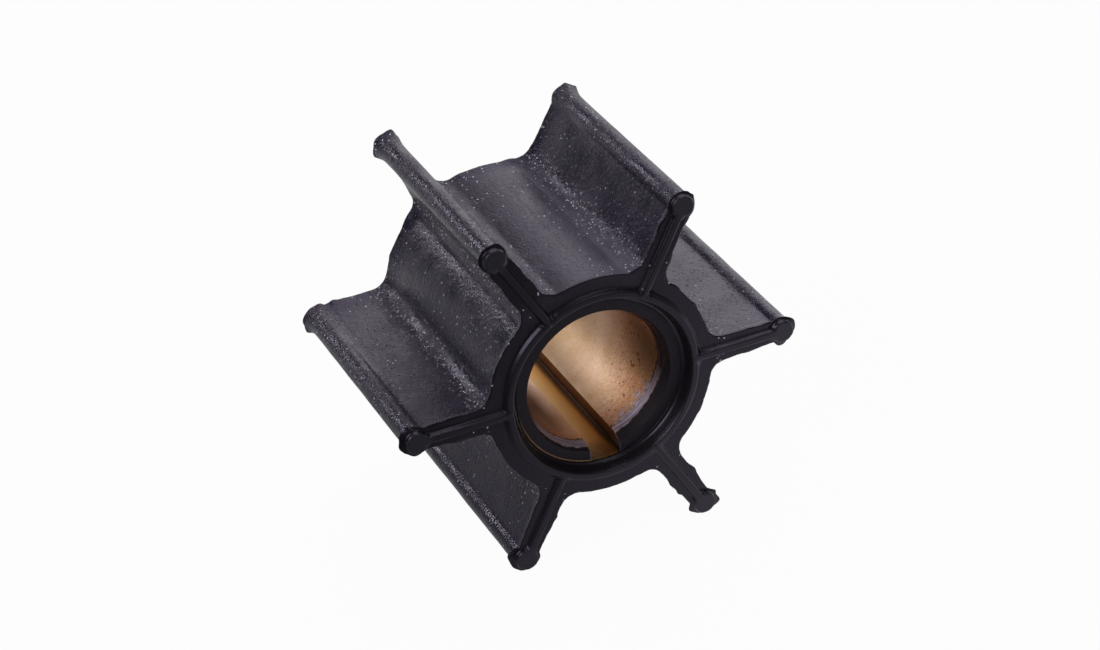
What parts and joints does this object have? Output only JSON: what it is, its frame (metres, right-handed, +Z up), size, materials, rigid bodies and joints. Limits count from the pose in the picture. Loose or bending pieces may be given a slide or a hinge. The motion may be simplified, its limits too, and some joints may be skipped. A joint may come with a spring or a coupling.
{
  "type": "pump impeller",
  "caption": "Flexible-vane rubber pump impeller with tip rods and raised sealing ridges, moulded on a keyed bronze hub insert.",
  "frame": {"origin": "on the shaft axis at mid length", "axes": "+Y along the shaft axis; +Z up, away from the keyway; +X towards one vane tip. The part rests on its two lower vane tips."},
  "size_m": [0.0418, 0.0284, 0.0366],
  "materials": {
    "rubber": "moulded dark charcoal rubber with a fine grain",
    "bronze": "turned bronze, black coated on its end faces, bare and lightly stained in the bore"
  },
  "bodies": {
    "root": {"rubber_impeller_body": "rubber", "bronze_hub_insert": "bronze"}
  },
  "joints": []
}
